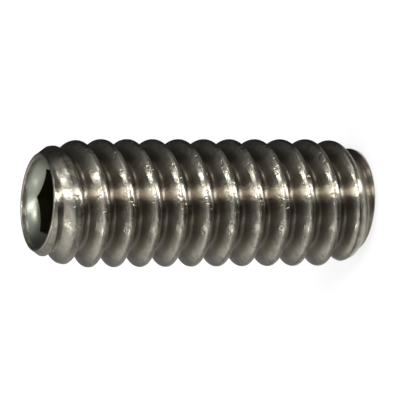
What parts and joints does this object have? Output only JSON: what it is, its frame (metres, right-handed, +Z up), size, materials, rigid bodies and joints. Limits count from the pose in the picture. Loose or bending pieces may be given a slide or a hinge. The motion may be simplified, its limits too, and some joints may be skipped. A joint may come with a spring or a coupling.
{
  "type": "socket set screw",
  "caption": "Headless stainless steel set screw with a rolled right-hand thread, a hexagon socket in one end and a cup point at the other.",
  "frame": {"origin": "centre of the point's face, on the screw's axis", "axes": "+Z up the screw's axis from the point to the socket; +X is the side on which the first crest lies 0.61 mm below the top of the screw"},
  "size_m": [0.0048, 0.0048, 0.0132],
  "materials": {
    "stainless_steel": "bare 18-8 stainless steel, rolled thread with a fine satin sheen and small handling nicks"
  },
  "bodies": {
    "root": {"set_screw": "stainless_steel"}
  },
  "joints": []
}
